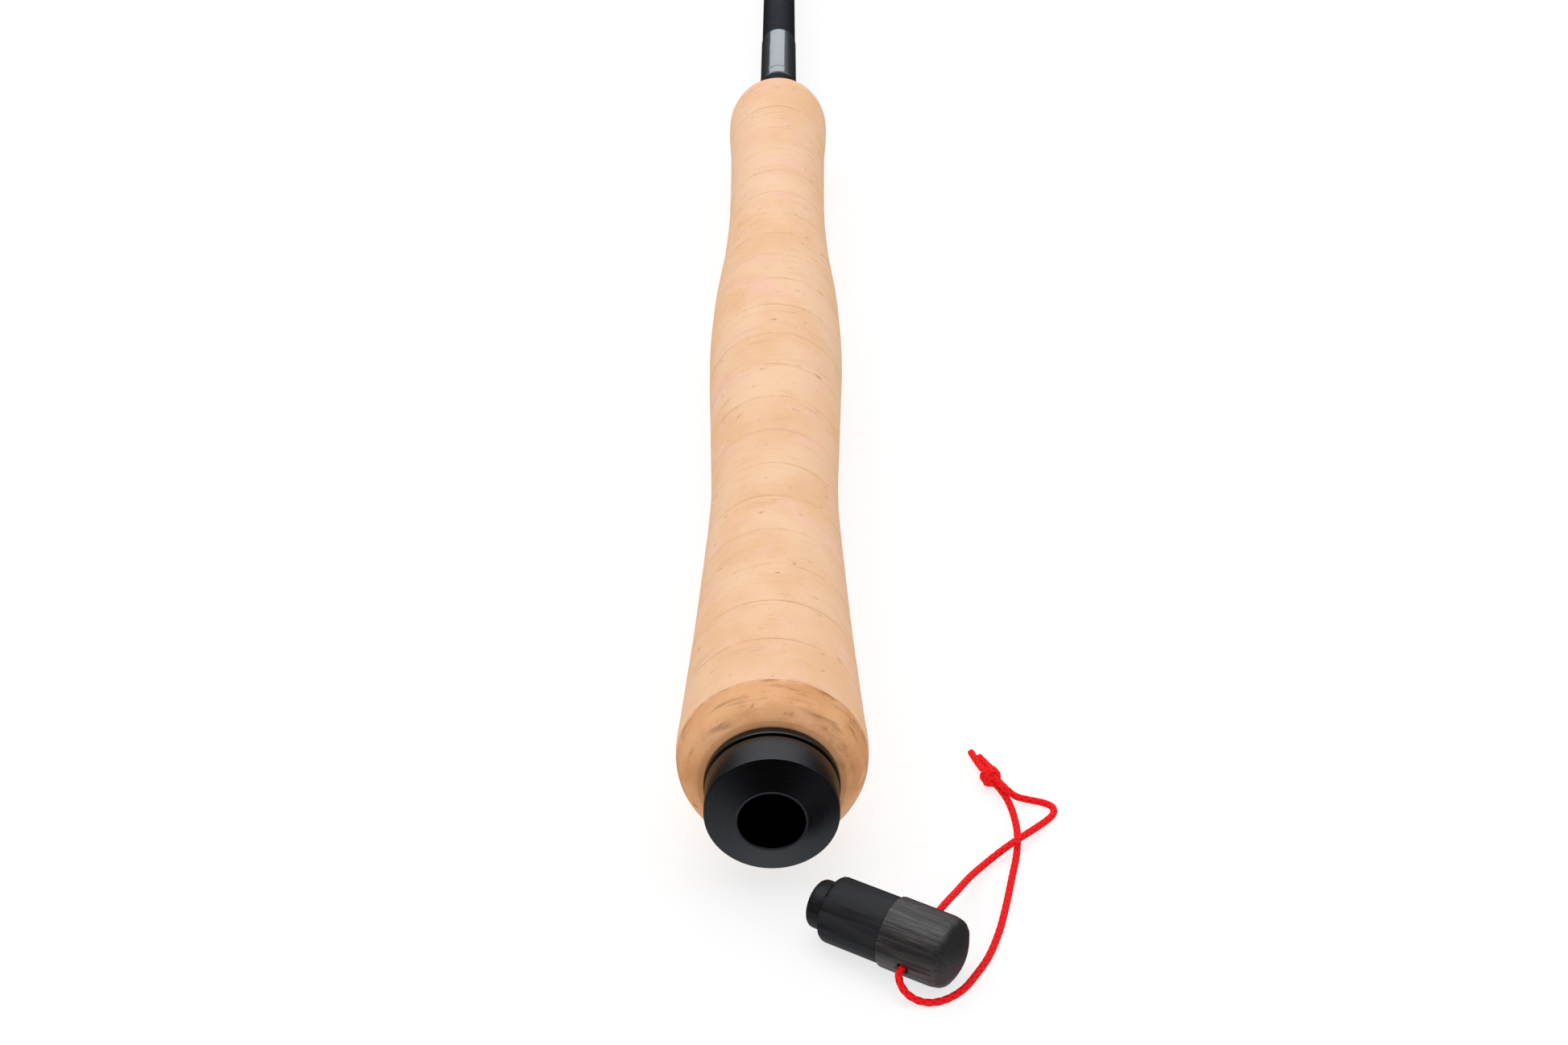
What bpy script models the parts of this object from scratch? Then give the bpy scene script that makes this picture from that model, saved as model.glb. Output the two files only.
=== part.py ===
"""A telescopic fixed-line fishing rod, closed for carrying, with its tip plug lying beside the butt.

The rod's axis is horizontal and runs along +Y from the butt cap to the mouth of the handle section.
The surface that it lies on is z = 0. Lengths are in metres. A station is a distance along the rod
from the rear rim of the butt cap.
"""
import math

import bmesh
import bpy
from mathutils import Matrix, Vector

# Facets round a turned piece. One of them faces straight down, so that the rod doesn't roll.
SIDES = 24
MERGE = 1e-5
EDGE = 0.0003
# The middle of a rounded corner lies this share of its radius from each side.
CORNER_SHARE = 1 - math.sqrt(0.5)
AXIS_DISPLAY_SIZE = 0.02

# The frame: the object's box is centred on the origin, so the rod stands a little to the left.
ROD_X = -0.0075
BUTT_Y = -0.260

# The cork grip, turned from glued rings of half-inch stock behind one thin ring of burl cork.
CORK_RINGS = 22
RING_LENGTH = 0.0127
BURL_LENGTH = 0.00635
GLUE_LINE = 0.0002
GRIP_START = 0.0104
GRIP_END = GRIP_START + BURL_LENGTH + CORK_RINGS * RING_LENGTH
GRIP_RADIUS = 0.0157
BORE_CLEARANCE = 0.0003
# A point of the outline that lies nearer than this to a ring's end is left out.
OUTLINE_SPACING = 0.0012

# (station, radius) down the grip's outline: butt swell, waist, palm swell, neck and nose.
GRIP_OUTLINE = (
    (0.0104, 0.0121),
    (0.0122, 0.0143),
    (0.0170, 0.0157),
    (0.0260, 0.0153),
    (0.0500, 0.01395),
    (0.0770, 0.01275),
    (0.0985, 0.0121),
    (0.1220, 0.01275),
    (0.1580, 0.0138),
    (0.1840, 0.0132),
    (0.2060, 0.01175),
    (0.2290, 0.01105),
    (0.2640, 0.0114),
    (0.2860, 0.0120),
    (0.2930, 0.0103),
    (0.2970, 0.0068),
)

# The handle section of the blank, as (station, outer radius), and the sections that nest inside it.
# Its taper is slower past the grip, up to the mouth that the plug's nose fits.
HANDLE_OUTLINE = (
    (0.0230, 0.00500),
    (0.3800, 0.00436),
    (0.5450, 0.00430),
)
HANDLE_WALL = 0.00040
# A tube's front rim is bevelled by this share of its wall.
RIM_SHARE = 1 / 3
SECTION_REAR = 0.0226
SECTION_FRONT = 0.5320
SECTION_FRONT_STEP = 0.0010
SECTION_GAP = 0.00005
SECTION_TAPER = 0.00024
SECTION_WALLS = (0.00025, 0.00023, 0.00021, 0.00020, 0.00018, 0.00015)
TIP_FRONT = 0.5020
TIP_FRONT_RADIUS = 0.00035

# The lillian on the tip, and the sleeve that grips it.
COLLAR_LENGTH = 0.0060
COLLAR_RADIUS = 0.00070
LILLIAN_FRONT = 0.5280
LILLIAN_RADIUS = 0.00045

# The winding check and the thread wrap in front of the grip.
CHECK_LENGTH = 0.0148
CHECK_REAR_RADIUS = 0.0053
CHECK_FRONT_RADIUS = 0.0049
CHECK_EDGE = 0.00015
WRAP_FRONT = 0.3450
WRAP_WALL = 0.00010
WRAP_GAP = 0.00006

# The threaded insert in the butt.
FLANGE_REAR = 0.0086
FLANGE_LENGTH = 0.0015
FLANGE_RADIUS = 0.0110
BARREL_RADIUS = 0.0093
BARREL_FRONT = 0.0340
THREAD_BORE = 0.00815
THREAD_BORE_FRONT = 0.0226

# The butt cap: rim, cone, side, o-ring seat, threaded spigot and the pocket that keeps the plug.
RIM_INNER_RADIUS = 0.00537
RIM_OUTER_RADIUS = 0.0061
CONE_FRONT = 0.0019
CAP_RADIUS = 0.0108
CAP_FRONT = 0.0082
SEAL_SEAT = 0.0073
SEAL_SEAT_RADIUS = 0.0097
SPIGOT_RADIUS = 0.00800
PILOT_START = 0.0148
PILOT_RADIUS = 0.00755
SPIGOT_FRONT = 0.0200
POCKET_FLOOR = 0.0185
SEAL_RADIUS = 0.00885
SEAL_THICKNESS = 0.0009
SEAL_SIDES = 8
BUMPER_REAR = 0.0203
BUMPER_LENGTH = 0.0020
BUMPER_RADIUS = 0.0074

# The tip plug, lying on the surface behind and to the right of the butt. Its own stations start at
# the nose's end. Its heading is the turn from +Y towards +X, and its roll turns the cross hole by a facet.
PLUG_NOSE = (0.0070, -0.0074)
PLUG_HEADING = math.radians(121.5)
PLUG_ROLL = math.tau / SIDES
NOSE_RADIUS = 0.00395
NOSE_LENGTH = 0.0024
NOSE_ROUNDING = 0.0009
STEM_RADIUS = 0.0054
STEM_END = 0.0137
STEM_ROUNDING = 0.0013
SEAM = 0.0003
HEAD_RADIUS = 0.00575
HEAD_END = 0.0240
DOME_HEIGHT = 0.0019
# The shares of the head's radius at which its dome has a point, and how far its edge reaches back.
DOME_SHARES = (0.0, 0.4, 0.75, 0.93)
DOME_EDGE = 0.0008
TENON_RADIUS = 0.0026
TENON_START = 0.0060
CORD_HOLE_STATION = 0.0184
CORD_HOLE_RADIUS = 0.00095
CORD_HOLE_SIDES = 12
CORD_HOLE_DRILL = 4 * HEAD_RADIUS

# The lanyard: elastic cord of 1.2 mm, knotted into a loop through the plug's head.
CORD_RADIUS = 0.0006
CORD_STEP = 0.0024
CORD_RESOLUTION = 2
ROUTE_SUBDIVISIONS = 16
KNOT_RADIUS = 0.00175
KNOT_SIDES = 12
KNOT_ROWS = 8
KNOT_CENTRE = (0.0370, 0.0305, KNOT_RADIUS)

# The loop from the knot, over itself and through the head from its far side, then back to the knot:
# across and along from the foot of the butt's rear rim, and up from the surface.
LOOP_ROUTE = (
    (0.0383, 0.0288, 0.00235),
    (0.0394, 0.0267, 0.0021),
    (0.0409, 0.0257, 0.0014),
    (0.0429, 0.0256, 0.0008),
    (0.0452, 0.0251, 0.0006),
    (0.0467, 0.0241, 0.0006),
    (0.0471, 0.0228, 0.0006),
    (0.0467, 0.0215, 0.0006),
    (0.0454, 0.0197, 0.0007),
    (0.0431, 0.0167, 0.0013),
    (0.0402, 0.0129, 0.0022),
    (0.0378, 0.0110, 0.0017),
    (0.0349, 0.0082, 0.0012),
    (0.0318, 0.0024, 0.0029),
    (0.0291, -0.0046, 0.0055),
    (0.0274, -0.0088, 0.0070),
    (0.0258, -0.0119, 0.0073),
    (0.0227, -0.0170, 0.00575),
    (0.0196, -0.0220, 0.0041),
    (0.0194, -0.0228, 0.0037),
    (0.0197, -0.0237, 0.0029),
    (0.0207, -0.0245, 0.0018),
    (0.0224, -0.0250, 0.00095),
    (0.0245, -0.0250, 0.0006),
    (0.0269, -0.0241, 0.0006),
    (0.0294, -0.0219, 0.0006),
    (0.0317, -0.0183, 0.0006),
    (0.0338, -0.0142, 0.0006),
    (0.0357, -0.0086, 0.0006),
    (0.0372, -0.0025, 0.0006),
    (0.0388, 0.0052, 0.0006),
    (0.0400, 0.0113, 0.0006),
    (0.0405, 0.0168, 0.0006),
    (0.0403, 0.0212, 0.0006),
    (0.0398, 0.0246, 0.0006),
    (0.0391, 0.0272, 0.0006),
    (0.0383, 0.0289, 0.00075),
)
LONG_TAIL_ROUTE = (
    (0.0362, 0.0326, 0.0015),
    (0.0355, 0.0350, 0.0009),
    (0.0342, 0.0394, 0.0006),
)
SHORT_TAIL_ROUTE = (
    (0.0375, 0.0327, 0.0018),
    (0.0370, 0.0347, 0.0011),
    (0.0359, 0.0376, 0.0006),
)


def clear_scene():
    """Start from an empty scene."""
    for obj in list(bpy.data.objects):
        bpy.data.objects.remove(obj, do_unlink=True)


def make_collection(name, hidden=False):
    """A collection of the scene; a hidden one holds the cutters."""
    collection = bpy.data.collections.new(name)
    collection.hide_render = hidden
    bpy.context.scene.collection.children.link(collection)
    return collection


def make_material(name, color, roughness, metallic=0.0):
    """A Principled material of one plain finish."""
    material = bpy.data.materials.new(name)
    material.use_nodes = True
    shader = material.node_tree.nodes["Principled BSDF"]
    shader.inputs["Base Color"].default_value = (*color, 1.0)
    shader.inputs["Roughness"].default_value = roughness
    shader.inputs["Metallic"].default_value = metallic
    material.diffuse_color = (*color, 1.0)
    return material


def make_empty(name, location, direction=None):
    """An axis that pieces hang on: its local Z runs along the direction, and its local X stays level."""
    empty = bpy.data.objects.new(name, None)
    empty.empty_display_size = AXIS_DISPLAY_SIZE
    ROD.objects.link(empty)
    turn = Matrix.Identity(4)
    if direction is not None:
        along = Vector(direction).normalized()
        level = along.cross(Vector((0.0, 0.0, 1.0))).normalized()
        turn = Matrix((level, along.cross(level), along)).transposed().to_4x4()
    empty.matrix_world = Matrix.Translation(location) @ turn
    return empty


def add_piece(name, data, material, parent, collection=None):
    """Put mesh or curve data in the scene as one named piece under its axis."""
    obj = bpy.data.objects.new(name, data)
    data.materials.append(material)
    (collection or ROD).objects.link(obj)
    obj.parent = parent
    return obj


def turn(obj):
    """Sweep a piece's outline once round its local Z."""
    screw = obj.modifiers.new("Turn", "SCREW")
    screw.axis = "Z"
    screw.steps = SIDES
    screw.render_steps = SIDES
    screw.use_merge_vertices = True
    screw.merge_threshold = MERGE
    screw.use_smooth_shade = True
    return screw


def turned(name, outline, material, parent):
    """A turned piece from its (station, radius) outline.

    The outline starts at the front, runs back along the outside and, in a hollow piece, forward again
    through the bore. The radii are those of the flats, so the flats lie on the round piece's surface.
    """
    hollow = min(radius for _, radius in outline) > 0.0
    half_facet = math.pi / SIDES
    mesh = bpy.data.meshes.new(name)
    points = []
    for station, radius in outline:
        corner = radius / math.cos(half_facet)
        points.append((corner * math.cos(half_facet), corner * math.sin(half_facet), station))
    edges = [(i, i + 1) for i in range(len(points) - 1)]
    if hollow:
        edges.append((len(points) - 1, 0))
    mesh.from_pydata(points, edges, [])
    obj = add_piece(name, mesh, material, parent)
    turn(obj)
    return obj


def smooth_value(knots, x):
    """The height at x of a smooth curve through (x, height) knots."""
    last = len(knots) - 1
    i = next((k for k in range(last) if x <= knots[k + 1][0]), last - 1)

    def slope(k):
        low, high = max(k - 1, 0), min(k + 1, last)
        return (knots[high][1] - knots[low][1]) / (knots[high][0] - knots[low][0])

    (x0, y0), (x1, y1) = knots[i], knots[i + 1]
    span = x1 - x0
    t = min(max((x - x0) / span, 0.0), 1.0)
    rise = y1 - y0
    bend = 3 * rise - span * (2 * slope(i) + slope(i + 1))
    twist = -2 * rise + span * (slope(i) + slope(i + 1))
    return y0 + t * (span * slope(i) + t * (bend + t * twist))


def smooth_route(route, step):
    """Points one step apart, or a little more or less, on a smooth curve through a route's points."""
    knots = [Vector(point) for point in route]
    ends = [2 * knots[0] - knots[1], 2 * knots[-1] - knots[-2]]
    padded = [ends[0], *knots, ends[1]]
    dense = []
    for a, b, c, d in zip(padded, padded[1:], padded[2:], padded[3:]):
        for k in range(ROUTE_SUBDIVISIONS):
            t = k / ROUTE_SUBDIVISIONS
            dense.append(
                b
                + 0.5 * t * (c - a)
                + 0.5 * t * t * (2 * a - 5 * b + 4 * c - d)
                + 0.5 * t ** 3 * (3 * b - a - 3 * c + d)
            )
    dense.append(knots[-1])
    travelled = [0.0]
    for a, b in zip(dense, dense[1:]):
        travelled.append(travelled[-1] + (b - a).length)
    count = round(travelled[-1] / step)
    points, k = [], 0
    for n in range(count + 1):
        want = travelled[-1] * n / count
        while k < len(dense) - 2 and travelled[k + 1] < want:
            k += 1
        share = (want - travelled[k]) / (travelled[k + 1] - travelled[k])
        points.append(dense[k].lerp(dense[k + 1], share))
    return points


def cord_piece(name, route, material, parent):
    """A length of cord along a smooth route, its ends closed."""
    curve = bpy.data.curves.new(name, "CURVE")
    curve.dimensions = "3D"
    curve.bevel_depth = CORD_RADIUS
    curve.bevel_resolution = CORD_RESOLUTION
    curve.use_fill_caps = True
    spline = curve.splines.new("POLY")
    points = smooth_route(route, CORD_STEP)
    spline.points.add(len(points) - 1)
    for point, place in zip(spline.points, points):
        point.co = (*place, 1.0)
    spline.use_smooth = True
    return add_piece(name, curve, material, parent)


def blank_radius(station):
    """The handle section's outer radius."""
    for (rear, rear_radius), (front, front_radius) in zip(HANDLE_OUTLINE, HANDLE_OUTLINE[1:]):
        if station <= front:
            break
    share = (station - rear) / (front - rear)
    return rear_radius + share * (front_radius - rear_radius)


def grip_ring(name, start, length, material, parent):
    """One ring of the grip, bored for the blank or, at the butt, for the insert's barrel."""
    rear, front = start, start + length - GLUE_LINE
    knots = [s for s, _ in GRIP_OUTLINE if rear + OUTLINE_SPACING < s < front - OUTLINE_SPACING]
    middle = [] if knots else [(rear + front) / 2]
    stations = [front, *sorted(knots + middle, reverse=True), rear]
    outside = [(s, smooth_value(GRIP_OUTLINE, s)) for s in stations]
    barrel_bore = BARREL_RADIUS + BORE_CLEARANCE
    step = BARREL_FRONT + BORE_CLEARANCE

    def blank_bore(station):
        return blank_radius(station) + BORE_CLEARANCE

    if front < step:
        bore = [(rear, barrel_bore), (front, barrel_bore)]
    else:
        bore = [(max(rear, step), blank_bore(max(rear, step))), (front, blank_bore(front))]
        if rear < step:
            bore = [(rear, barrel_bore), (step, barrel_bore), *bore]
    turned(name, outside + bore, material, parent)


def make_grip(axis):
    """The burl ring at the butt and the cork rings in front of it."""
    grip_ring("cork_burl_ring", GRIP_START, BURL_LENGTH, BURL, axis)
    for n in range(CORK_RINGS):
        start = GRIP_START + BURL_LENGTH + n * RING_LENGTH
        grip_ring(f"cork_ring_{n + 1:02d}", start, RING_LENGTH, CORK, axis)


def make_insert(axis):
    """The bush in the butt: flange, barrel in the cork, thread bore, and a neck round the blank."""
    flange_front = FLANGE_REAR + FLANGE_LENGTH
    neck = blank_radius(BARREL_FRONT) + 2 * BORE_CLEARANCE
    outline = (
        (BARREL_FRONT, BARREL_RADIUS - EDGE),
        (BARREL_FRONT - EDGE, BARREL_RADIUS),
        (flange_front, BARREL_RADIUS),
        (flange_front, FLANGE_RADIUS),
        (FLANGE_REAR + EDGE, FLANGE_RADIUS),
        (FLANGE_REAR, FLANGE_RADIUS - EDGE),
        (FLANGE_REAR, THREAD_BORE),
        (THREAD_BORE_FRONT, THREAD_BORE),
        (THREAD_BORE_FRONT, neck),
        (BARREL_FRONT, neck),
    )
    turned("threaded_insert", outline, ANODISED, axis)


def make_cap(axis):
    """The screw cap: threaded spigot and pilot, o-ring seat, side, cone, rim and plug pocket."""
    outline = (
        (SPIGOT_FRONT, 0.0),
        (SPIGOT_FRONT, PILOT_RADIUS - EDGE),
        (SPIGOT_FRONT - EDGE, PILOT_RADIUS),
        (PILOT_START, PILOT_RADIUS),
        (PILOT_START - EDGE, SPIGOT_RADIUS),
        (SEAL_SEAT, SPIGOT_RADIUS),
        (SEAL_SEAT, SEAL_SEAT_RADIUS),
        (CAP_FRONT, SEAL_SEAT_RADIUS),
        (CAP_FRONT, CAP_RADIUS - EDGE),
        (CAP_FRONT - EDGE, CAP_RADIUS),
        (CONE_FRONT, CAP_RADIUS),
        (0.0, RIM_OUTER_RADIUS),
        (0.0, RIM_INNER_RADIUS),
        (POCKET_FLOOR, RIM_INNER_RADIUS),
        (POCKET_FLOOR, 0.0),
    )
    turned("butt_cap", outline, ANODISED, axis)


def make_seal(axis):
    """The o-ring in the cap's seat."""
    mesh = bpy.data.meshes.new("cap_o_ring")
    seal = add_piece("cap_o_ring", mesh, RUBBER, axis)
    seal.location = (0.0, 0.0, SEAL_SEAT + (FLANGE_REAR - SEAL_SEAT) / 2)
    ring = bmesh.new()
    circle = bmesh.ops.create_circle(ring, segments=SEAL_SIDES, radius=SEAL_THICKNESS / 2)["verts"]
    half_facet = math.pi / SIDES
    stand = Matrix.Rotation(half_facet, 4, "Z") @ Matrix.Translation((SEAL_RADIUS, 0.0, 0.0))
    bmesh.ops.transform(ring, matrix=stand @ Matrix.Rotation(math.pi / 2, 4, "X"), verts=circle)
    ring.to_mesh(mesh)
    ring.free()
    turn(seal).use_normal_calculate = True


def make_bumper(axis):
    """The rubber disc between the cap's spigot and the sections' rear ends."""
    front = BUMPER_REAR + BUMPER_LENGTH
    outline = (
        (front, 0.0),
        (front, BUMPER_RADIUS - EDGE),
        (front - EDGE, BUMPER_RADIUS),
        (BUMPER_REAR + EDGE, BUMPER_RADIUS),
        (BUMPER_REAR, BUMPER_RADIUS - EDGE),
        (BUMPER_REAR, 0.0),
    )
    turned("butt_bumper", outline, RUBBER, axis)


def tube(name, outline, wall, axis):
    """A tapered carbon tube, open at both ends, from the (station, radius) pairs of its outside."""
    (front, front_radius) = outline[-1]
    edge = wall * RIM_SHARE
    outer = [(front, front_radius - edge), (front - edge, front_radius), *reversed(outline[:-1])]
    inner = [(station, radius - wall) for station, radius in outline]
    turned(name, outer + inner, CARBON, axis)


def make_sections(axis):
    """The handle section, the nested tubes and the solid tip, each sized to stop in the one before."""
    tube("handle_blank", HANDLE_OUTLINE, HANDLE_WALL, axis)
    mouth = HANDLE_OUTLINE[-1][1] - HANDLE_WALL
    for n, wall in enumerate(SECTION_WALLS):
        front = SECTION_FRONT - n * SECTION_FRONT_STEP
        rear_radius = mouth - SECTION_GAP
        front_radius = rear_radius - SECTION_TAPER
        tube(f"section_{n + 2}", ((SECTION_REAR, rear_radius), (front, front_radius)), wall, axis)
        mouth = front_radius - wall
    tip_outline = (
        (TIP_FRONT, 0.0),
        (TIP_FRONT, TIP_FRONT_RADIUS),
        (SECTION_REAR, mouth - SECTION_GAP),
        (SECTION_REAR, 0.0),
    )
    turned(f"section_{len(SECTION_WALLS) + 2}", tip_outline, CARBON, axis)


def make_lillian(axis):
    """The sleeve on the solid tip, and the braided cord that it grips."""
    start = TIP_FRONT + BORE_CLEARANCE
    collar_front = start + COLLAR_LENGTH
    collar = (
        (collar_front, COLLAR_RADIUS - WRAP_WALL),
        (start, COLLAR_RADIUS),
        (start, LILLIAN_RADIUS + WRAP_GAP),
        (collar_front, LILLIAN_RADIUS + WRAP_GAP),
    )
    turned("lillian_collar", collar, CARBON, axis)
    lillian = (
        (LILLIAN_FRONT, 0.0),
        (LILLIAN_FRONT, LILLIAN_RADIUS),
        (start, LILLIAN_RADIUS),
        (start, 0.0),
    )
    turned("lillian", lillian, RED_CORD, axis)


def make_check_and_wrap(axis):
    """The collar at the grip's nose and the coated thread wrap in front of it."""
    rear = GRIP_END + BORE_CLEARANCE
    front = rear + CHECK_LENGTH
    check = (
        (front, CHECK_FRONT_RADIUS - CHECK_EDGE),
        (front - CHECK_EDGE, CHECK_FRONT_RADIUS),
        (rear, CHECK_REAR_RADIUS),
        (rear, blank_radius(rear) + WRAP_GAP),
        (front, blank_radius(front) + WRAP_GAP),
    )
    turned("winding_check", check, ANODISED, axis)
    start = front + BORE_CLEARANCE
    inner = [(s, blank_radius(s) + WRAP_GAP) for s in (start, WRAP_FRONT)]
    outer = [(s, radius + WRAP_WALL) for s, radius in reversed(inner)]
    turned("thread_wrap", outer + inner, CARBON, axis)


def make_plug(axis):
    """The tip plug: rubber nose and stem, and the cross-drilled wooden head with its tenon."""
    face = STEM_END
    stem_corner = CORNER_SHARE * STEM_ROUNDING
    nose_corner = CORNER_SHARE * NOSE_ROUNDING
    sleeve = (
        (TENON_START - SEAM, 0.0),
        (TENON_START - SEAM, TENON_RADIUS + SEAM),
        (face, TENON_RADIUS + SEAM),
        (face, STEM_RADIUS),
        (NOSE_LENGTH + STEM_ROUNDING, STEM_RADIUS),
        (NOSE_LENGTH + stem_corner, STEM_RADIUS - stem_corner),
        (NOSE_LENGTH, STEM_RADIUS - STEM_ROUNDING),
        (NOSE_LENGTH - EDGE, NOSE_RADIUS),
        (NOSE_ROUNDING, NOSE_RADIUS),
        (nose_corner, NOSE_RADIUS - nose_corner),
        (0.0, NOSE_RADIUS - NOSE_ROUNDING),
        (0.0, 0.0),
    )
    turned("plug_sleeve", sleeve, RUBBER, axis)
    shoulder = face + SEAM
    dome = [
        (HEAD_END + DOME_HEIGHT * (1 - share * share), HEAD_RADIUS * share)
        for share in DOME_SHARES
    ]
    head = (
        *dome,
        (HEAD_END - DOME_EDGE, HEAD_RADIUS),
        (shoulder, HEAD_RADIUS),
        (shoulder, TENON_RADIUS),
        (TENON_START, TENON_RADIUS),
        (TENON_START, 0.0),
    )
    wood = turned("plug_head", head, DARK_WOOD, axis)
    drill = bpy.data.meshes.new("cord_hole")
    bit = bmesh.new()
    bmesh.ops.create_cone(
        bit,
        cap_ends=True,
        segments=CORD_HOLE_SIDES,
        radius1=CORD_HOLE_RADIUS,
        radius2=CORD_HOLE_RADIUS,
        depth=CORD_HOLE_DRILL,
    )
    bit.to_mesh(drill)
    bit.free()
    cutter = add_piece("cord_hole", drill, DARK_WOOD, axis, CUTTERS)
    cutter.location = (0.0, 0.0, CORD_HOLE_STATION)
    cutter.rotation_euler = (0.0, math.pi / 2, PLUG_ROLL)
    cutter.hide_render = True
    cutter.display_type = "WIRE"
    cut = wood.modifiers.new("Cord hole", "BOOLEAN")
    cut.object = cutter
    cut.solver = "EXACT"


def make_lanyard(foot):
    """The cord's loop, its knot and its two tails."""
    cord_piece("lanyard_cord", LOOP_ROUTE, RED_CORD, foot)
    cord_piece("lanyard_tail_long", LONG_TAIL_ROUTE, RED_CORD, foot)
    cord_piece("lanyard_tail_short", SHORT_TAIL_ROUTE, RED_CORD, foot)
    mesh = bpy.data.meshes.new("lanyard_knot")
    ball = bmesh.new()
    bmesh.ops.create_uvsphere(
        ball, u_segments=KNOT_SIDES, v_segments=KNOT_ROWS, radius=KNOT_RADIUS
    )
    ball.to_mesh(mesh)
    ball.free()
    knot = add_piece("lanyard_knot", mesh, RED_CORD, foot)
    knot.location = KNOT_CENTRE
    mesh.shade_smooth()


clear_scene()
ROD = make_collection("fishing_rod")
CUTTERS = make_collection("cutters", hidden=True)

CORK = make_material("cork", (0.72, 0.48, 0.29), 0.85)
BURL = make_material("burl_cork", (0.50, 0.29, 0.15), 0.85)
ANODISED = make_material("black_anodised_aluminium", (0.030, 0.031, 0.034), 0.38, metallic=1.0)
CARBON = make_material("black_gloss_carbon", (0.008, 0.008, 0.010), 0.12)
RUBBER = make_material("black_rubber", (0.016, 0.016, 0.018), 0.60)
DARK_WOOD = make_material("dark_stained_wood", (0.060, 0.050, 0.045), 0.55)
RED_CORD = make_material("red_elastic_cord", (0.90, 0.010, 0.012), 0.65)

rod_axis = make_empty("rod_axis", (ROD_X, BUTT_Y, GRIP_RADIUS), (0.0, 1.0, 0.0))
plug_place = (ROD_X + PLUG_NOSE[0], BUTT_Y + PLUG_NOSE[1], HEAD_RADIUS)
plug_direction = (math.sin(PLUG_HEADING), math.cos(PLUG_HEADING), 0.0)
plug_axis = make_empty("plug_axis", plug_place, plug_direction)
surface_foot = make_empty("surface_foot", (ROD_X, BUTT_Y, 0.0))

make_grip(rod_axis)
make_insert(rod_axis)
make_cap(rod_axis)
make_seal(rod_axis)
make_bumper(rod_axis)
make_sections(rod_axis)
make_lillian(rod_axis)
make_check_and_wrap(rod_axis)
make_plug(plug_axis)
make_lanyard(surface_foot)
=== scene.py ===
"""The looks of a telescopic fixed-line fishing rod and its tip plug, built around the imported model.

A turned piece is a mesh round its object's local Y. A station is a distance along that axis: from
the rear rim of the butt cap on the rod, and from the nose's end on the tip plug. Lengths are in
metres.
"""

import math

import bmesh
import bpy
import numpy as np
from mathutils import Matrix, Vector, noise


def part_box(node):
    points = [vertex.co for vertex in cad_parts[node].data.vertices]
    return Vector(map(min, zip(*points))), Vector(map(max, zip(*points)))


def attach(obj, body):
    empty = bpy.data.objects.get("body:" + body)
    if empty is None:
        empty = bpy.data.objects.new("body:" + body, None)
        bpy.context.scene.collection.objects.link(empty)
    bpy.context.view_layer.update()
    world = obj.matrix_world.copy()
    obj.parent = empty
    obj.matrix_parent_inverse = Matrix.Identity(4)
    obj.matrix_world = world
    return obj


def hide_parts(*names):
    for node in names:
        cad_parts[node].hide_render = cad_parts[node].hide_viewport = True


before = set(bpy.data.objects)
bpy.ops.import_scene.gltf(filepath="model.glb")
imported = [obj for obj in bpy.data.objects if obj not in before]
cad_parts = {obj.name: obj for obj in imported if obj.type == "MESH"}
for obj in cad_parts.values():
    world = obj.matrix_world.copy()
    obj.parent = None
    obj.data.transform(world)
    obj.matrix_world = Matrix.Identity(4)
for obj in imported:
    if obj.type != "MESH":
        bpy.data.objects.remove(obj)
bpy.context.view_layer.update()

# Segments round the turned pieces, steps in a rounded corner, and the angle that makes an edge
# sharp.
CORK_SIDES = 288
METAL_SIDES = 160
TUBE_SIDES = 96
THIN_SIDES = 48
ARC_STEPS = 4
SHARP_ANGLE = math.radians(35)

# The grip's outline as (station, radius): butt swell, waist, palm swell, neck and nose.
GRIP_OUTLINE = (
    (0.0104, 0.0121),
    (0.0122, 0.0143),
    (0.0170, 0.0157),
    (0.0260, 0.0153),
    (0.0500, 0.01395),
    (0.0770, 0.01275),
    (0.0985, 0.0121),
    (0.1220, 0.01275),
    (0.1580, 0.0138),
    (0.1840, 0.0132),
    (0.2060, 0.01175),
    (0.2290, 0.01105),
    (0.2640, 0.0114),
    (0.2860, 0.0120),
    (0.2930, 0.0103),
    (0.2970, 0.0068),
)

# The cork rings: the spacing of their rows of points, the gap between two packed rings and the
# narrower one that shows, the clearance in their bores, and their surface. A point is on a ring's
# outside when it is within RING_DEPTH of the ring's widest radius. A ring's number sets its pattern,
# and the burl ring has a number of its own.
CORK_RINGS = 22
CORK_ROW = 0.00038
PACKED_GAP = 0.0002
SEAM_GAP = 0.00002
SEAM_ROUNDING = 0.00007
BORE_CLEARANCE = 0.0003
RING_DEPTH = 0.006
UNEVENNESS = 0.00005
WAVE_SCALE = 130
PIT_DEPTH = 0.00022
PIT_SCALE, PIT_SCALE_ALONG = 460, 1300
CRUMB_SCALE, CRUMB_SCALE_ALONG = 1700, 2900
CRUMB_SHARE = 0.35
PIT_START = 0.55
PIT_SPREAD = 0.35
BURL_NUMBER = 40

# The threaded insert in the rear of the grip. Its thread is cut into its bore.
BARREL_RADIUS = 0.0093
FLANGE_FRONT = 0.0101
FLANGE_RADIUS = 0.0110
INSERT_BORE = 0.00815
INSERT_BORE_FRONT = 0.0226
INSERT_THREAD = (0.0092, 0.0222)

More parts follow.
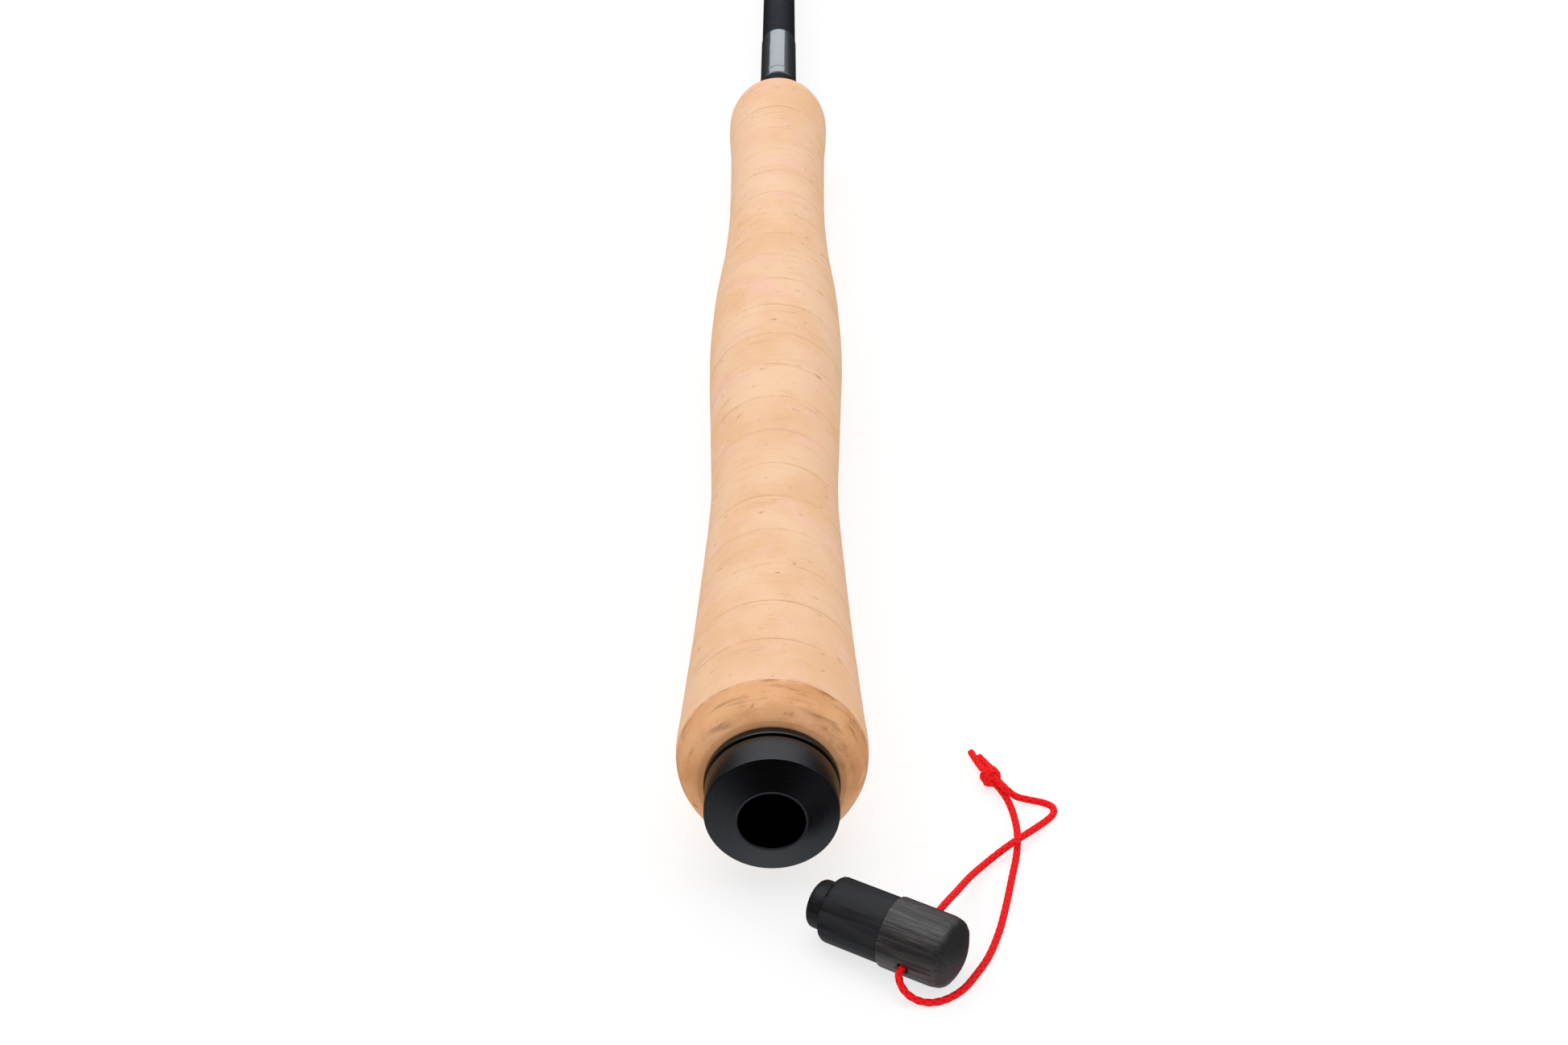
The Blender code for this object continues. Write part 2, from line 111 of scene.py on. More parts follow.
# The screw cap: its outside, the groove for its o-ring, its thread, its spigot and its pocket.
CAP_RADIUS = 0.0108
CAP_CONE_FRONT = 0.0019
CAP_RIM_RADIUS = 0.0058
CAP_SKIRT_FRONT = 0.0082
GROOVE_RADIUS = 0.0097
GROOVE_FLOOR = 0.0073
THREAD_RADIUS = 0.0080
CAP_THREAD = (0.0085, 0.0145)
SPIGOT_REAR = 0.0148
SPIGOT_RADIUS = 0.00755
POCKET_RADIUS = 0.00537
POCKET_FLOOR = 0.0185

# The thread that the cap and its insert share.
THREAD_PITCH = 0.001
THREAD_DEPTH = 0.0005
THREAD_ROWS = 12

# The o-ring's middle and the radius of its section, and the bumper in front of the cap.
SEAL_STATION = 0.00795
SEAL_RADIUS = 0.00885
SEAL_SECTION = 0.00045
BUMPER_RADIUS = 0.0074

# The handle section of the blank, as (station, outer radius), the walls of sections 2 to 7, and how
# much a section's radius shrinks towards its front.
HANDLE_OUTLINE = (
    (0.0230, 0.00500),
    (0.3800, 0.00436),
    (0.5450, 0.00430),
)
HANDLE_WALL = 0.00040
TUBE_WALLS = (0.00025, 0.00023, 0.00021, 0.00020, 0.00018, 0.00015)
TUBE_TAPER = 0.00024
TIP_FRONT_RADIUS = 0.00035

# The collar at the grip's nose, the wrap in front of it, and the lillian with its own collar.
CHECK_RADIUS = 0.00530
CHECK_FRONT_RADIUS = 0.00490
WRAP_COAT = 0.00016
WRAP_STEP = 0.0052
THREAD_SPACING = 0.00022
LILLIAN_RADIUS = 0.00045
LILLIAN_BORE = 0.00051

# The tip plug's place from the foot of the butt's rear rim, its heading from +Y towards +X, the
# turn of its cross hole, and the radii and stations of its head and stem.
PLUG_NOSE = (0.0070, -0.0074)
PLUG_HEADING = math.radians(121.5)
PLUG_ROLL = math.radians(15)
HEAD_RADIUS = 0.00575
HEAD_END = 0.0240
DOME_HEIGHT = 0.0019
STEM_RADIUS = 0.0054
STEM_START = 0.0029
STEM_END = 0.0137
NOSE_RADIUS = 0.00395
SHOULDER_GAP = 0.00003
CORD_HOLE_STATION = 0.0184
CORD_HOLE_RADIUS = 0.00095

# The elastic cord, knotted into a loop through the plug's head. Its points are across and along
# from the foot of the butt's rear rim, and up from the surface. HOLE_POINT is the point of
# LOOP_ROUTE in the middle of the head's cross hole. The knot's strands wind round its run at
# KNOT_REACH, give or take KNOT_SWELL, and to KNOT_WIDTH either way along it.
CORD_RADIUS = 0.0006
CORD_SIDES = 28
CORD_STEP = 0.00012
ROUTE_SUBDIVISIONS = 16
BRAID_STRANDS = 4
BRAID_LAY = 0.0015
BRAID_DEPTH = 0.10
KNOT_CENTRE = (0.0370, 0.0305, 0.0019)
KNOT_REACH = 0.00115
KNOT_SWELL = 0.00010
KNOT_WIDTH = 0.0007
HEART_RADIUS = 0.00172
LOOP_ROUTE = (
    (0.0377, 0.0296, 0.0023),
    (0.0394, 0.0267, 0.0021),
    (0.0409, 0.0257, 0.0014),
    (0.0429, 0.0256, 0.0008),
    (0.0452, 0.0251, 0.0006),
    (0.0467, 0.0241, 0.0006),
    (0.0471, 0.0228, 0.0006),
    (0.0467, 0.0215, 0.0006),
    (0.0454, 0.0197, 0.0007),
    (0.0431, 0.0167, 0.0013),
    (0.0402, 0.0129, 0.0022),
    (0.0378, 0.0110, 0.0017),
    (0.0349, 0.0082, 0.0012),
    (0.0318, 0.0024, 0.0029),
    (0.0291, -0.0046, 0.0055),
    (0.0274, -0.0088, 0.0070),
    (0.0258, -0.0119, 0.0073),
    (0.0227, -0.0170, 0.00575),
    (0.0196, -0.0220, 0.0041),
    (0.0194, -0.0228, 0.0037),
    (0.0197, -0.0237, 0.0029),
    (0.0207, -0.0245, 0.0018),
    (0.0224, -0.0250, 0.00095),
    (0.0245, -0.0250, 0.0006),
    (0.0269, -0.0241, 0.0006),
    (0.0294, -0.0219, 0.0006),
    (0.0317, -0.0183, 0.0006),
    (0.0338, -0.0142, 0.0006),
    (0.0357, -0.0086, 0.0006),
    (0.0372, -0.0025, 0.0006),
    (0.0388, 0.0052, 0.0006),
    (0.0400, 0.0113, 0.0006),
    (0.0405, 0.0168, 0.0006),
    (0.0403, 0.0212, 0.0006),
    (0.0398, 0.0246, 0.0006),
    (0.0391, 0.0272, 0.0006),
    (0.0377, 0.0296, 0.0012),
)
HOLE_POINT = 17
LONG_TAIL_ROUTE = (
    (0.0362, 0.0326, 0.0015),
    (0.0355, 0.0350, 0.0009),
    (0.0342, 0.0394, 0.0006),
)
SHORT_TAIL_ROUTE = (
    (0.0373, 0.0328, 0.0018),
    (0.0367, 0.0350, 0.0011),
    (0.03555, 0.0380, 0.0006),
)

# The camera, from the foot of the butt's rear rim.
CAMERA_PLACE = (0.0024, -0.3232, 0.2637)
CAMERA_PITCH = math.radians(59.122)
CAMERA_YAW = 0.00146
CAMERA_LENS = 59.2
CAMERA_SENSOR = 36.0

# The floor's size, and the strengths of its own glow, of the even light, and of what gloss sees
# between the lit parts of the room.
FLOOR_SIZE = 80.0
FLOOR_GLOW = 0.72
EVEN_LIGHT = 0.75
DARK_ROOM = 0.03


def middle(node):
    """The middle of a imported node's box."""
    low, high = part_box(node)
    return (low + high) / 2


# The rod's axis meets the plane of the butt's rear rim at ROD. The surface is straight below, at
# FOOT.
ROD = Vector((middle("handle_blank").x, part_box("butt_cap")[0].y, middle("handle_blank").z))
FOOT = Vector((ROD.x, ROD.y, 0.0))


def station_range(node):
    """The stations of a rod piece's rear and front ends."""
    low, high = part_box(node)
    return low.y - ROD.y, high.y - ROD.y


# ---------------------------------------------------------------- material nodes


def new_material(name):
    """A new material's node tree and its shader, as (material, tree, shader)."""
    material = bpy.data.materials.new(name)
    material.use_nodes = True
    return material, material.node_tree, material.node_tree.nodes["Principled BSDF"]


def feed(tree, node, inputs):
    """Link the inputs given as sockets, and set the others."""
    for key, value in inputs.items():
        if isinstance(value, bpy.types.NodeSocket):
            tree.links.new(value, node.inputs[key])
        else:
            node.inputs[key].default_value = value


def add_node(tree, kind, inputs=None, **settings):
    """A new shader node with its settings and inputs."""
    node = tree.nodes.new("ShaderNode" + kind)
    for key, value in settings.items():
        setattr(node, key, value)
    feed(tree, node, inputs or {})
    return node


def maths(tree, operation, a, b=0.0):
    """The result of a Math node."""
    return add_node(tree, "Math", {0: a, 1: b}, operation=operation).outputs[0]


def mix(tree, share, a, b, blend="MIX"):
    """Colour a mixed with colour b."""
    node = add_node(tree, "Mix", data_type="RGBA", blend_type=blend, clamp_result=True)
    feed(tree, node, {0: share, 6: a, 7: b})
    return node.outputs[2]


def ramp(tree, value, low, high, start=0.0, end=1.0):
    """The value's range from low to high, stretched smoothly over start to end."""
    node = add_node(tree, "MapRange", {0: value, 1: low, 2: high, 3: start, 4: end})
    node.interpolation_type = "SMOOTHSTEP"
    return node.outputs[0]


def scaled(tree, vector, scale):
    """A vector with each axis scaled by its own share."""
    node = add_node(tree, "VectorMath", {0: vector, 1: scale}, operation="MULTIPLY")
    return node.outputs[0]


def grain(tree, vector, scale, detail=4.0, roughness=0.55):
    """The value of a noise texture."""
    inputs = {"Vector": vector, "Scale": scale, "Detail": detail, "Roughness": roughness}
    return add_node(tree, "TexNoise", inputs).outputs["Fac"]


def attribute(tree, name, output="Fac"):
    """A value kept on the mesh's points."""
    return add_node(tree, "Attribute", attribute_name=name).outputs[output]


def bump(tree, height, distance, strength=1.0):
    """A normal bent by a height."""
    inputs = {"Height": height, "Distance": distance, "Strength": strength}
    return add_node(tree, "Bump", inputs).outputs[0]


def object_place(tree):
    """The point in the object's own frame."""
    return add_node(tree, "TexCoord").outputs["Object"]


def turn_angle(tree, place):
    """The angle round the object's local Y, from -pi to pi."""
    split = add_node(tree, "SeparateXYZ", {0: place})
    return maths(tree, "ARCTAN2", split.outputs["Z"], split.outputs["X"])


def along(tree, place):
    """The station of a point in the object's own frame."""
    return add_node(tree, "SeparateXYZ", {0: place}).outputs["Y"]


# ---------------------------------------------------------------- materials


def colour(red, green, blue):
    """A colour with its alpha."""
    return (red, green, blue, 1.0)


def cork_material(name, pale, warm, pink, dark, seam, streaks):
    """Sanded cork: soft patches, fine growth streaks round the ring, and brown pores and specks."""
    material, tree, shader = new_material(name)
    place = object_place(tree)
    patches = grain(tree, scaled(tree, place, (1.0, 0.8, 1.0)), 75.0, 5.0, 0.5)
    shade = mix(tree, ramp(tree, patches, 0.35, 0.66), pale, warm)
    rosy = grain(tree, place, 120.0, 3.0)
    shade = mix(tree, ramp(tree, rosy, 0.50, 0.72, 0.0, 0.8), shade, pink)
    shifted = add_node(tree, "VectorMath", {0: place, 1: attribute(tree, "board", "Vector")})
    place = shifted.outputs[0]
    lines = grain(tree, scaled(tree, place, (0.16, 1.0, 0.16)), 900.0, 3.0)
    shade = mix(tree, ramp(tree, lines, 0.50, 0.80, 0.0, 0.35 * streaks), shade, dark)
    bands = grain(tree, scaled(tree, place, (0.30, 1.0, 0.30)), 260.0, 4.0, 0.62)
    shade = mix(tree, ramp(tree, bands, 0.56, 0.78, 0.0, 0.60 * streaks), shade, dark)
    specks = grain(tree, place, 2600.0, 2.0, 0.7)
    shade = mix(tree, ramp(tree, specks, 0.58, 0.80, 0.0, 0.45), shade, dark)
    shade = mix(tree, ramp(tree, attribute(tree, "pit"), 0.02, 0.7, 0.0, 0.85), shade, dark)
    broken = ramp(tree, grain(tree, place, 420.0, 3.0), 0.44, 0.60, 0.0, 0.38)
    shade = mix(tree, maths(tree, "MULTIPLY", attribute(tree, "edge"), broken), shade, seam)
    tone = attribute(tree, "tone")
    shade = mix(tree, maths(tree, "MULTIPLY", tone, 0.05), shade, colour(0.35, 0.18, 0.08))
    fine = grain(tree, place, 5200.0, 2.0)
    relief = maths(tree, "ADD", fine, maths(tree, "MULTIPLY", specks, -1.0))
    inputs = {
        "Base Color": shade,
        "Roughness": ramp(tree, patches, 0.3, 0.7, 0.62, 0.80),
        "Normal": bump(tree, relief, 0.00003),
        "Specular IOR Level": 0.35,
    }
    feed(tree, shader, inputs)
    return material


def anodised_material():
    """Black anodised aluminium with the turning tool's fine rings."""
    material, tree, shader = new_material("black_anodised")
    place = object_place(tree)
    rings = grain(tree, scaled(tree, place, (0.02, 1.0, 0.02)), 9000.0, 2.0)
    cloud = grain(tree, place, 140.0, 4.0)
    tangent = add_node(tree, "Tangent", direction_type="RADIAL", axis="Y")
    inputs = {
        "Base Color": mix(tree, cloud, colour(0.046, 0.047, 0.050), colour(0.060, 0.061, 0.065)),
        "Metallic": 1.0,
        "Roughness": ramp(tree, rings, 0.3, 0.7, 0.26, 0.36),
        "Anisotropic": 0.75,
        "Tangent": tangent.outputs[0],
        "Normal": bump(tree, rings, 0.000002),
    }
    feed(tree, shader, inputs)
    return material


def carbon_material():
    """The blank's dark satin finish, with the faint spiral of its wrapping tape under it."""
    material, tree, shader = new_material("carbon_satin")
    place = object_place(tree)
    angle = turn_angle(tree, place)
    spiral = maths(tree, "ADD", maths(tree, "MULTIPLY", along(tree, place), 900.0), angle)
    ridges = maths(tree, "SINE", spiral)
    cloud = grain(tree, place, 300.0, 3.0)
    dark, light = colour(0.0040, 0.0050, 0.0070), colour(0.0080, 0.0100, 0.0130)
    inputs = {
        "Base Color": mix(tree, cloud, dark, light),
        "Roughness": ramp(tree, cloud, 0.3, 0.7, 0.62, 0.70),
        "Specular IOR Level": 0.08,
        "Normal": bump(tree, ridges, 0.000003),
    }
    feed(tree, shader, inputs)
    return material


def wrap_material():
    """Black thread wound side by side under clear gloss epoxy, with painted shade: each turn is
    painted lighter on its crown and darker in the grooves between turns.
    """
    material, tree, shader = new_material("thread_wrap")
    place = object_place(tree)
    turns = maths(tree, "MULTIPLY", along(tree, place), math.tau / THREAD_SPACING)
    threads = maths(tree, "SINE", maths(tree, "ADD", turns, turn_angle(tree, place)))
    # Painted shade: the thread's colour follows its relief, lighter on the crowns and darker in the
    # grooves between turns.
    crown = ramp(tree, threads, -1.0, 1.0)
    dark, light = colour(0.0025, 0.0030, 0.0040), colour(0.0120, 0.0150, 0.0190)
    inputs = {
        "Base Color": mix(tree, crown, dark, light),
        "Roughness": 0.45,
        "Normal": bump(tree, threads, 0.00003),
        "Coat Weight": 1.0,
        "Coat Roughness": 0.05,
        "Coat Normal": bump(tree, grain(tree, place, 260.0, 2.0), 0.00004),
    }
    feed(tree, shader, inputs)
    return material


def rubber_material():
    """Dark rubber with faint streaks along the mould's draw."""
    material, tree, shader = new_material("black_rubber")
    place = object_place(tree)
    streaks = grain(tree, scaled(tree, place, (1.0, 0.06, 1.0)), 700.0, 4.0, 0.6)
    dust = grain(tree, place, 4200.0, 2.0)
    dark, light = colour(0.0062, 0.0064, 0.0068), colour(0.0260, 0.0270, 0.0305)
    relief = maths(tree, "ADD", dust, maths(tree, "MULTIPLY", streaks, 2.0))
    inputs = {
        "Base Color": mix(tree, ramp(tree, streaks, 0.35, 0.75), dark, light),
        "Roughness": ramp(tree, streaks, 0.3, 0.7, 0.46, 0.60),
        "Specular IOR Level": 0.22,
        "Normal": bump(tree, relief, 0.00001),
    }
    feed(tree, shader, inputs)
    return material


def wood_material():
    """Dark stained wood, its grain along the plug."""
    material, tree, shader = new_material("dark_wood")
    place = object_place(tree)
    wander = grain(tree, scaled(tree, place, (1.0, 0.12, 1.0)), 420.0, 4.0, 0.6)
    lines = grain(tree, scaled(tree, place, (1.0, 0.035, 1.0)), 2400.0, 3.0, 0.65)
    pores = grain(tree, scaled(tree, place, (1.0, 0.08, 1.0)), 5200.0, 2.0)
    dark, light = colour(0.011, 0.010, 0.010), colour(0.066, 0.054, 0.051)
    shade = mix(tree, ramp(tree, wander, 0.35, 0.68), dark, light)
    shade = mix(tree, ramp(tree, lines, 0.50, 0.66), shade, colour(0.012, 0.011, 0.012))
    shade = mix(tree, ramp(tree, pores, 0.62, 0.72, 0.0, 0.7), shade, colour(0.010, 0.009, 0.009))
    end_grain = ramp(tree, along(tree, place), HEAD_END - 0.0004, HEAD_END + 0.0006)
    shade = mix(tree, end_grain, shade, colour(0.021, 0.020, 0.021))
    inputs = {
        "Base Color": shade,
        "Roughness": ramp(tree, lines, 0.4, 0.7, 0.36, 0.56),
        "Normal": bump(tree, maths(tree, "ADD", lines, pores), -0.00006),
    }
    feed(tree, shader, inputs)
    return material


def cord_material():
    """Red braided cover over elastic, with painted shade: its strands are painted bright red on their
    crowns and darker red in the valleys between them, where shade falls.
    """
    material, tree, shader = new_material("red_cord")
    place = object_place(tree)
    strand_shade = attribute(tree, "strand_shade")
    fuzz = grain(tree, place, 9000.0, 2.0)
    valley_shade, bright = colour(0.66, 0.002, 0.006), colour(0.97, 0.010, 0.012)
    # Painted shade: the braid's valleys are painted darker red and its crowns bright red, shading the
    # strands by their height.
    shade = mix(tree, ramp(tree, strand_shade, 0.1, 0.9), valley_shade, bright)
    shade = mix(tree, ramp(tree, fuzz, 0.45, 0.75, 0.0, 0.35), shade, colour(1.0, 0.03, 0.03))
    inputs = {
        "Base Color": shade,
        "Roughness": 0.62,
        "Normal": bump(tree, fuzz, 0.00003),
        "Specular IOR Level": 0.12,
    }
    feed(tree, shader, inputs)
    return material


def core_material():
    """The cord's rubber core, which shows at its cut ends."""
    material, tree, shader = new_material("elastic_core")
    speckle = grain(tree, object_place(tree), 6000.0, 2.0)
    inputs = {
        "Base Color": mix(tree, speckle, colour(0.55, 0.02, 0.02), colour(0.80, 0.10, 0.07)),
        "Roughness": 0.7,
    }
    feed(tree, shader, inputs)
    return material


# ---------------------------------------------------------------- shapes


def smooth_value(knots, x):
    """The height at x of a smooth curve through (x, height) knots."""
    last = len(knots) - 1
    i = next((k for k in range(last) if x <= knots[k + 1][0]), last - 1)

    def slope(k):
        low, high = max(k - 1, 0), min(k + 1, last)
        return (knots[high][1] - knots[low][1]) / (knots[high][0] - knots[low][0])

    (x0, y0), (x1, y1) = knots[i], knots[i + 1]
    span = x1 - x0
    t = min(max((x - x0) / span, 0.0), 1.0)
    rise = y1 - y0
    bend = 3 * rise - span * (2 * slope(i) + slope(i + 1))
    twist = -2 * rise + span * (slope(i) + slope(i + 1))
    return y0 + t * (span * slope(i) + t * (bend + t * twist))


def blank_radius(station):
    """The handle section's outer radius."""
    stations, radii = zip(*HANDLE_OUTLINE)
    return float(np.interp(station, stations, radii))


def rounded(corners):
    """An outline with rounded corners, from (station, radius) or (station, radius, rounding)."""
    outline = []
    for k, corner in enumerate(corners):
        point = Vector(corner[:2])
        if len(corner) == 2 or k in (0, len(corners) - 1):
            outline.append(tuple(point))
            continue
        back = (Vector(corners[k - 1][:2]) - point).normalized()
        ahead = (Vector(corners[k + 1][:2]) - point).normalized()
        half = back.angle(ahead) / 2
        reach = corner[2] / math.tan(half)
        hub = point + (back + ahead).normalized() * corner[2] / math.sin(half)
        first, last = point + back * reach - hub, point + ahead * reach - hub
        for n in range(ARC_STEPS + 1):
            outline.append(tuple(hub + first.slerp(last, n / ARC_STEPS).normalized() * corner[2]))
    return outline


def divided(outline, step):
    """An outline with its long runs cut into pieces of about one step."""
    cut = [outline[0]]
    for (s0, r0), (s1, r1) in zip(outline, outline[1:]):
        count = max(1, math.ceil(math.hypot(s1 - s0, r1 - r0) / step))
        for n in range(1, count + 1):
            cut.append((s0 + (s1 - s0) * n / count, r0 + (r1 - r0) * n / count))
    return cut


def turned(name, outline, sides, place, material, relief=None, values=None):
    """A piece turned round local Y from a (station, radius) outline.

    The outline runs back along the outside and, in a hollow piece, forward again through the bore.
    relief(stations, angles, radii) gives the points' radii, and values(stations, angles, radii)
    gives a dictionary of the numbers that the material reads at the points.
    """
    hollow = min(radius for _, radius in outline) > 0.0
    rows = len(outline)
    stations = np.repeat(np.array([s for s, _ in outline])[:, None], sides, axis=1)
    radii = np.repeat(np.array([r for _, r in outline])[:, None], sides, axis=1)
    angles = np.repeat((np.arange(sides) * math.tau / sides)[None, :], rows, axis=0)
    if relief:
        radii = relief(stations, angles, radii)
    points = np.stack([radii * np.cos(angles), stations, radii * np.sin(angles)], axis=-1)
    i, j = np.meshgrid(np.arange(rows if hollow else rows - 1), np.arange(sides), indexing="ij")
    i_next, j_next = (i + 1) % rows, (j + 1) % sides
    quads = [i * sides + j, i * sides + j_next, i_next * sides + j_next, i_next * sides + j]
    mesh = bpy.data.meshes.new(name)
    faces = np.stack(quads, axis=-1).reshape(-1, 4)
    mesh.from_pydata(points.reshape(-1, 3).tolist(), [], faces.tolist())
    for key, numbers in (values(stations, angles, radii) if values else {}).items():
        keep_value(mesh, key, numbers)
    if not hollow:
        weld_poles(mesh)
    return add_piece(name, mesh, place, material)


def keep_value(mesh, key, numbers):
    """Keep numbers, or vectors, on a mesh's points for its material."""
    numbers = np.asarray(numbers, np.float32)
    vectors = numbers.ndim == 2 and numbers.shape[1] == 3 and len(numbers) == len(mesh.vertices)
    kept = mesh.attributes.new(key, "FLOAT_VECTOR" if vectors else "FLOAT", "POINT")
    kept.data.foreach_set("vector" if vectors else "value", numbers.reshape(-1))


def weld_poles(mesh):
    """Make one point of each ring of points that lies on the axis."""
    work = bmesh.new()
    work.from_mesh(mesh)
    poles = [v for v in work.verts if math.hypot(v.co.x, v.co.z) < 1e-9]
    bmesh.ops.remove_doubles(work, verts=poles, dist=1e-8)
    work.to_mesh(mesh)
    work.free()


def add_piece(name, mesh, place, material):
    """Put a mesh in the scene as one named piece, smooth but for its sharp edges."""
    piece = bpy.data.objects.new(name, mesh)
    mesh.materials.append(material)
    mesh.shade_smooth()
    mesh.set_sharp_from_angle(angle=SHARP_ANGLE)
    bpy.context.scene.collection.objects.link(piece)
    piece.matrix_world = place
    return piece


def settle(piece, body, slot, *nodes):
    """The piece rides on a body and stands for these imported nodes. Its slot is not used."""
    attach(piece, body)
    if nodes:
        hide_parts(*nodes)
    return piece


def smooth_route(route, step):
    """Points about one step apart on a smooth curve through a route's points."""
    knots = [Vector(point) for point in route]
    padded = [2 * knots[0] - knots[1], *knots, 2 * knots[-1] - knots[-2]]
    dense = []
    for a, b, c, d in zip(padded, padded[1:], padded[2:], padded[3:]):
        for k in range(ROUTE_SUBDIVISIONS):
            t = k / ROUTE_SUBDIVISIONS
            dense.append(
                b
                + 0.5 * t * (c - a)
                + 0.5 * t * t * (2 * a - 5 * b + 4 * c - d)
                + 0.5 * t ** 3 * (3 * b - a - 3 * c + d)
            )
    dense = np.array([*dense, knots[-1]])
    travelled = np.concatenate([[0], np.cumsum(np.linalg.norm(np.diff(dense, axis=0), axis=1))])
    wanted = np.linspace(0, travelled[-1], round(travelled[-1] / step) + 1)
    return np.stack([np.interp(wanted, travelled, dense[:, k]) for k in range(3)], axis=-1)


def sweep(path, radius, sides, braid=None):
    """A closed tube's points, faces and painted shade values, which are the braid's crown height that
    the material turns into painted shade between the strands. The radius may vary along its path.
    """
    radius = np.broadcast_to(radius, len(path))
    ahead = np.gradient(path, axis=0)
    ahead /= np.linalg.norm(ahead, axis=1)[:, None]
    side = np.cross(ahead[0], (0.0, 0.0, 1.0))
    side /= np.linalg.norm(side)
    points, strand_shade = [], []
    angles = np.arange(sides) * math.tau / sides
    travelled = 0.0
    for n, (place, way) in enumerate(zip(path, ahead)):
        side = side - way * side.dot(way)
        side /= np.linalg.norm(side)
        up = np.cross(side, way)
        if n:
            travelled += np.linalg.norm(place - path[n - 1])
        crown = braid(travelled, angles) if braid else np.ones(sides)
        reach = radius[n] * (1 - BRAID_DEPTH * (1 - crown))
        spoke = np.cos(angles)[:, None] * side + np.sin(angles)[:, None] * up
        points.append(place + reach[:, None] * spoke)
        strand_shade.append(crown)
    rows = len(path)
    i, j = np.meshgrid(np.arange(rows - 1), np.arange(sides), indexing="ij")
    here, there, j_next = i * sides, (i + 1) * sides, (j + 1) % sides
    quads = [here + j, there + j, there + j_next, here + j_next]
    faces = np.stack(quads, axis=-1).reshape(-1, 4).tolist()
    ends = [path[0], path[-1]]
    first, last = rows * sides, rows * sides + 1
    for k in range(sides):
        faces.append([first, k, (k + 1) % sides])
        faces.append([last, (rows - 1) * sides + (k + 1) % sides, (rows - 1) * sides + k])
    points = np.concatenate([np.concatenate(points), np.array(ends)])
    strand_shade = np.concatenate([np.concatenate(strand_shade), [0.0, 0.0]])
    return points, faces, strand_shade


def cover_braid(travelled, angles):
    """The height of the cord's braided cover at points round it: two sets of strands that cross."""
    lay = math.tau * travelled / BRAID_LAY
    over = np.sin(BRAID_STRANDS * angles + lay)
    under = np.sin(BRAID_STRANDS * angles - lay)
    return np.clip(np.maximum(over, under), 0.0, 1.0) ** 0.7


def cord_piece(name, tubes, material):
    """One mesh from (path, radius) tubes with a braided cover."""
    mesh = bpy.data.meshes.new(name)
    points, faces, strand_shade = [], [], []
    for path, radius in tubes:
        tube_points, tube_faces, tube_strand_shade = sweep(path, radius, CORD_SIDES, cover_braid)
        start = sum(len(p) for p in points)
        faces += [[start + k for k in face] for face in tube_faces]
        points.append(tube_points)
        strand_shade.append(tube_strand_shade)
    mesh.from_pydata(np.concatenate(points).tolist(), [], faces)
    # The braid's height, kept on the points, is what the cord material paints as shade between the
    # strands.
    keep_value(mesh, "strand_shade", np.concatenate(strand_shade))
    return add_piece(name, mesh, Matrix.Identity(4), material)


# ---------------------------------------------------------------- the grip


def cork_relief(seed, pitted):
    """A cork ring's slow unevenness and small pits, as (relief, the pits that it found)."""
    found = {}

    def relief(stations, angles, radii):
        outside = radii > radii.max() - RING_DEPTH
        pits = np.zeros(radii.shape)
        waves = np.zeros(radii.shape)
        for index in zip(*np.nonzero(outside)):
            s, a, r = stations[index], angles[index], radii[index]
            x, z = r * math.cos(a), r * math.sin(a)
            waves[index] = noise.noise((x * WAVE_SCALE + seed, s * WAVE_SCALE, z * WAVE_SCALE))
            pit = noise.noise((x * PIT_SCALE + seed, s * PIT_SCALE_ALONG, z * PIT_SCALE))
            crumb = noise.noise((x * CRUMB_SCALE, s * CRUMB_SCALE_ALONG + seed, z * CRUMB_SCALE))
            depth = (pit + CRUMB_SHARE * crumb - PIT_START) / PIT_SPREAD
            pits[index] = min(max(depth, 0.0), 1.0)
        found["pit"] = (pits * pitted).reshape(-1)
        return radii - pits * PIT_DEPTH * pitted + (waves - 0.4) * UNEVENNESS * outside

    return relief, found


def cork_ring(node, name, material, number, pitted, tone):
    """One glued ring of the grip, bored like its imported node."""
    rear, front = station_range(node)
    if front < GRIP_OUTLINE[-1][0] - PACKED_GAP:
        front += PACKED_GAP - SEAM_GAP
    count = round((front - rear) / CORK_ROW)
    stations = np.linspace(front, rear, count + 1)
    outside = [(s, smooth_value(GRIP_OUTLINE, s)) for s in stations]
    low, high = outside[-1], outside[0]
    barrel_front = station_range("threaded_insert")[1] + BORE_CLEARANCE
    barrel_bore = BARREL_RADIUS + BORE_CLEARANCE
    bore_rear = barrel_bore if rear < barrel_front else blank_radius(rear) + BORE_CLEARANCE
    bore_front = barrel_bore if front < barrel_front else blank_radius(front) + BORE_CLEARANCE
    outline = [
        (front, high[1] - 2 * SEAM_ROUNDING),
        (front - 0.3 * SEAM_ROUNDING, high[1] - 0.6 * SEAM_ROUNDING),
        *((s, r) for s, r in outside if rear + SEAM_ROUNDING < s < front - SEAM_ROUNDING),
        (rear + 0.3 * SEAM_ROUNDING, low[1] - 0.6 * SEAM_ROUNDING),
        (rear, low[1] - 2 * SEAM_ROUNDING),
        (rear, bore_rear),
    ]
    if rear < barrel_front < front:
        outline += [(barrel_front, bore_rear), (barrel_front, bore_front)]
    outline.append((front, bore_front))
    relief, found = cork_relief(17.0 + 3.7 * number, pitted)
    seam_free = GRIP_OUTLINE[1][0]

    def values(stations, angles, radii):
        size = stations.size
        board = np.tile((0.173 * number, 0.091 * number, 0.0), (size, 1))
        from_seam = front - stations
        if rear >= seam_free:
            from_seam = np.minimum(from_seam, stations - rear)
        edge = np.clip(1.5 - from_seam / CORK_ROW, 0.0, 1.0).reshape(-1)
        return {"pit": found["pit"], "board": board, "tone": np.full(size, tone), "edge": edge}

    place = Matrix.Translation(ROD)
    return turned(name, outline, CORK_SIDES, place, material, relief=relief, values=values)


